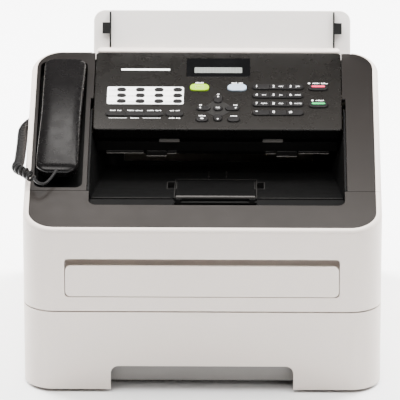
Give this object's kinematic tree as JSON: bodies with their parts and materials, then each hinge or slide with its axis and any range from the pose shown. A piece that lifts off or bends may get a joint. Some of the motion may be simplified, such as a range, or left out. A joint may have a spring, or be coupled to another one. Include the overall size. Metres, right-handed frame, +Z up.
{
  "type": "fax machine",
  "caption": "Desktop laser fax machine with sloping key panel, corded handset in a side cradle, upright document tray, output basin, manual feed door and front paper tray.",
  "frame": {"origin": "centre of the casing's footprint, on the surface it stands on", "axes": "+Z up, -Y towards the user at the front, +X to the user's right"},
  "size_m": [0.3824, 0.36, 0.3062],
  "materials": {
    "casing_plastic": "light warm grey moulded plastic, fine texture",
    "tray_plastic": "pale grey moulded plastic",
    "deck_plastic": "dark warm grey moulded plastic, semi-matt",
    "liner_plastic": "black moulded plastic",
    "handset_plastic": "black satin plastic",
    "cord_sleeve": "black flexible cord sleeve",
    "plug_plastic": "clear plastic plug",
    "inner_grey": "mid grey moulded plastic",
    "chassis": "plain pressed steel",
    "roller_rubber": "soft grey roller rubber",
    "drum_coating": "blue-green coated drum",
    "circuit_board": "green circuit board",
    "screen_glass": "black display window",
    "dark_key": "black rubber-like key",
    "green_key": "green key",
    "blue_key": "pale blue key",
    "stop_key": "dark key with a red bar",
    "start_key": "dark key with a green bar"
  },
  "bodies": {
    "casing": {"main_cover": "casing_plastic", "base_frame": "chassis", "output_tray": "liner_plastic", "right_deck_panel": "deck_plastic", "handset_cradle": "deck_plastic", "scanner_frame": "liner_plastic", "document_tray": "tray_plastic", "laser_unit": "inner_grey", "toner_cartridge": "inner_grey", "main_board": "circuit_board", "handset_jack": "liner_plastic", "handset_plug": "plug_plastic", "handset_coil": "cord_sleeve", "handset_lead": "cord_sleeve"},
    "front_cover": {"front_cover": "casing_plastic", "front_cover_deck": "deck_plastic"},
    "manual_feed_door": {"manual_feed_door": "casing_plastic"},
    "support_flap": {"support_flap": "liner_plastic"},
    "paper_tray": {"paper_tray": "inner_grey", "tray_front_cover": "casing_plastic"},
    "pressure_plate": {"pressure_plate": "chassis"},
    "control_panel": {"control_panel": "deck_plastic", "lcd_window": "screen_glass", "panel_base": "liner_plastic", "panel_trim": "casing_plastic"},
    "handset": {"handset_back": "handset_plastic", "handset_front": "handset_plastic"},
    "hook_switch": {"hook_switch": "handset_plastic"},
    "document_guide_left": {"document_guide_left": "liner_plastic"},
    "document_guide_right": {"document_guide_right": "liner_plastic"},
    "rear_cover": {"rear_cover": "casing_plastic"},
    "photoconductor_drum": {"photoconductor_drum": "drum_coating"},
    "fuser_roller": {"fuser_roller": "roller_rubber"},
    "pickup_roller": {"pickup_roller": "roller_rubber"},
    "document_feed_roller": {"document_feed_roller": "roller_rubber"},
    "stop_key": {"stop_key": "stop_key"},
    "start_key": {"start_key": "start_key"},
    "fax_key": {"fax_key": "green_key"},
    "copy_key": {"copy_key": "blue_key"},
    "up_key": {"up_key": "dark_key"},
    "down_key": {"down_key": "dark_key"},
    "left_key": {"left_key": "dark_key"},
    "right_key": {"right_key": "dark_key"},
    "ok_key": {"ok_key": "dark_key"},
    "clear_key": {"clear_key": "dark_key"},
    "menu_key": {"menu_key": "dark_key"},
    "one_touch_keys": {"one_touch_keys": "dark_key"},
    "function_keys": {"function_keys": "dark_key"},
    "dial_key_1": {"dial_key_1": "dark_key"},
    "dial_key_2": {"dial_key_2": "dark_key"},
    "dial_key_3": {"dial_key_3": "dark_key"},
    "dial_key_4": {"dial_key_4": "dark_key"},
    "dial_key_5": {"dial_key_5": "dark_key"},
    "dial_key_6": {"dial_key_6": "dark_key"},
    "dial_key_7": {"dial_key_7": "dark_key"},
    "dial_key_8": {"dial_key_8": "dark_key"},
    "dial_key_9": {"dial_key_9": "dark_key"},
    "dial_key_star": {"dial_key_star": "dark_key"},
    "dial_key_0": {"dial_key_0": "dark_key"},
    "dial_key_pound": {"dial_key_pound": "dark_key"}
  },
  "joints": [
    {"name": "front_cover_hinge", "type": "hinge", "parent": "casing", "child": "front_cover", "pos_m": [0, -0.177, 0.0925], "axis": [1, 0, 0], "range_deg": [0, 90]},
    {"name": "feed_door_hinge", "type": "hinge", "parent": "front_cover", "child": "manual_feed_door", "pos_m": [0, -0.1787, 0.107], "axis": [1, 0, 0], "range_deg": [0, 75]},
    {"name": "support_flap_hinge", "type": "hinge", "parent": "front_cover", "child": "support_flap", "pos_m": [0.013, -0.11743, 0.18492], "axis": [1, 0, 0], "range_deg": [0, 135]},
    {"name": "paper_tray_slide", "type": "slide", "parent": "casing", "child": "paper_tray", "axis": [0, -1, 0], "range_m": [0, 0.22]},
    {"name": "pressure_plate_hinge", "type": "hinge", "parent": "paper_tray", "child": "pressure_plate", "pos_m": [0, 0.03, 0.0118], "axis": [-1, 0, 0], "range_deg": [0, 18]},
    {"name": "control_panel_hinge", "type": "hinge", "parent": "casing", "child": "control_panel", "pos_m": [0.0142, -0.00652, 0.2206], "axis": [1, 0, 0], "range_deg": [0, 45]},
    {"name": "handset_lift", "type": "slide", "parent": "casing", "child": "handset", "axis": [0, -0.2924, 0.9563], "range_m": [0, 0.12]},
    {"name": "document_guide_slide", "type": "slide", "parent": "casing", "child": "document_guide_left", "axis": [1, 0, 0], "range_m": [0, 0.045]},
    {"name": "document_guide_right_slide", "type": "slide", "parent": "casing", "child": "document_guide_right", "axis": [-1, 0, 0], "range_m": [0, 0.045]},
    {"name": "rear_cover_hinge", "type": "hinge", "parent": "casing", "child": "rear_cover", "pos_m": [0, 0.1787, 0.1012], "axis": [-1, 0, 0], "range_deg": [0, 80]},
    {"name": "drum_spin", "type": "hinge", "parent": "casing", "child": "photoconductor_drum", "pos_m": [0, 0.02, 0.114], "axis": [1, 0, 0], "continuous": true},
    {"name": "fuser_spin", "type": "hinge", "parent": "casing", "child": "fuser_roller", "pos_m": [0, 0.096, 0.122], "axis": [1, 0, 0], "continuous": true},
    {"name": "pickup_spin", "type": "hinge", "parent": "casing", "child": "pickup_roller", "pos_m": [0, -0.118, 0.104], "axis": [1, 0, 0], "continuous": true},
    {"name": "document_feed_spin", "type": "hinge", "parent": "casing", "child": "document_feed_roller", "pos_m": [0, 0.06815, 0.22775], "axis": [1, 0, 0], "continuous": true},
    {"name": "hook_switch_press", "type": "slide", "parent": "casing", "child": "hook_switch", "axis": [0, 0.2924, -0.9563], "range_m": [0, 0.003], "stiffness_N_per_m": 150},
    {"name": "stop_key_press", "type": "slide", "parent": "control_panel", "child": "stop_key", "axis": [0, 0.2924, -0.9563], "range_m": [0, 0.001], "stiffness_N_per_m": 700},
    {"name": "start_key_press", "type": "slide", "parent": "control_panel", "child": "start_key", "axis": [0, 0.2924, -0.9563], "range_m": [0, 0.001], "stiffness_N_per_m": 700},
    {"name": "fax_key_press", "type": "slide", "parent": "control_panel", "child": "fax_key", "axis": [0, 0.2924, -0.9563], "range_m": [0, 0.001], "stiffness_N_per_m": 700},
    {"name": "copy_key_press", "type": "slide", "parent": "control_panel", "child": "copy_key", "axis": [0, 0.2924, -0.9563], "range_m": [0, 0.001], "stiffness_N_per_m": 700},
    {"name": "up_key_press", "type": "slide", "parent": "control_panel", "child": "up_key", "axis": [0, 0.2924, -0.9563], "range_m": [0, 0.001], "stiffness_N_per_m": 700},
    {"name": "down_key_press", "type": "slide", "parent": "control_panel", "child": "down_key", "axis": [0, 0.2924, -0.9563], "range_m": [0, 0.001], "stiffness_N_per_m": 700},
    {"name": "left_key_press", "type": "slide", "parent": "control_panel", "child": "left_key", "axis": [0, 0.2924, -0.9563], "range_m": [0, 0.001], "stiffness_N_per_m": 700},
    {"name": "right_key_press", "type": "slide", "parent": "control_panel", "child": "right_key", "axis": [0, 0.2924, -0.9563], "range_m": [0, 0.001], "stiffness_N_per_m": 700},
    {"name": "ok_key_press", "type": "slide", "parent": "control_panel", "child": "ok_key", "axis": [0, 0.2924, -0.9563], "range_m": [0, 0.001], "stiffness_N_per_m": 700},
    {"name": "clear_key_press", "type": "slide", "parent": "control_panel", "child": "clear_key", "axis": [0, 0.2924, -0.9563], "range_m": [0, 0.001], "stiffness_N_per_m": 700},
    {"name": "menu_key_press", "type": "slide", "parent": "control_panel", "child": "menu_key", "axis": [0, 0.2924, -0.9563], "range_m": [0, 0.001], "stiffness_N_per_m": 700},
    {"name": "one_touch_key_press", "type": "slide", "parent": "control_panel", "child": "one_touch_keys", "axis": [0, 0.2924, -0.9563], "range_m": [0, 0.001], "stiffness_N_per_m": 1500},
    {"name": "function_key_press", "type": "slide", "parent": "control_panel", "child": "function_keys", "axis": [0, 0.2924, -0.9563], "range_m": [0, 0.001], "stiffness_N_per_m": 1500},
    {"name": "dial_key_1_press", "type": "slide", "parent": "control_panel", "child": "dial_key_1", "axis": [0, 0.2924, -0.9563], "range_m": [0, 0.001], "stiffness_N_per_m": 700},
    {"name": "dial_key_2_press", "type": "slide", "parent": "control_panel", "child": "dial_key_2", "axis": [0, 0.2924, -0.9563], "range_m": [0, 0.001], "stiffness_N_per_m": 700},
    {"name": "dial_key_3_press", "type": "slide", "parent": "control_panel", "child": "dial_key_3", "axis": [0, 0.2924, -0.9563], "range_m": [0, 0.001], "stiffness_N_per_m": 700},
    {"name": "dial_key_4_press", "type": "slide", "parent": "control_panel", "child": "dial_key_4", "axis": [0, 0.2924, -0.9563], "range_m": [0, 0.001], "stiffness_N_per_m": 700},
    {"name": "dial_key_5_press", "type": "slide", "parent": "control_panel", "child": "dial_key_5", "axis": [0, 0.2924, -0.9563], "range_m": [0, 0.001], "stiffness_N_per_m": 700},
    {"name": "dial_key_6_press", "type": "slide", "parent": "control_panel", "child": "dial_key_6", "axis": [0, 0.2924, -0.9563], "range_m": [0, 0.001], "stiffness_N_per_m": 700},
    {"name": "dial_key_7_press", "type": "slide", "parent": "control_panel", "child": "dial_key_7", "axis": [0, 0.2924, -0.9563], "range_m": [0, 0.001], "stiffness_N_per_m": 700},
    {"name": "dial_key_8_press", "type": "slide", "parent": "control_panel", "child": "dial_key_8", "axis": [0, 0.2924, -0.9563], "range_m": [0, 0.001], "stiffness_N_per_m": 700},
    {"name": "dial_key_9_press", "type": "slide", "parent": "control_panel", "child": "dial_key_9", "axis": [0, 0.2924, -0.9563], "range_m": [0, 0.001], "stiffness_N_per_m": 700},
    {"name": "dial_key_star_press", "type": "slide", "parent": "control_panel", "child": "dial_key_star", "axis": [0, 0.2924, -0.9563], "range_m": [0, 0.001], "stiffness_N_per_m": 700},
    {"name": "dial_key_0_press", "type": "slide", "parent": "control_panel", "child": "dial_key_0", "axis": [0, 0.2924, -0.9563], "range_m": [0, 0.001], "stiffness_N_per_m": 700},
    {"name": "dial_key_pound_press", "type": "slide", "parent": "control_panel", "child": "dial_key_pound", "axis": [0, 0.2924, -0.9563], "range_m": [0, 0.001], "stiffness_N_per_m": 700}
  ],
  "couplings": [
    {"joint": "document_guide_right_slide", "follows": "document_guide_slide", "ratio": 1},
    {"joint": "fuser_spin", "follows": "drum_spin", "ratio": 0.923}
  ]
}
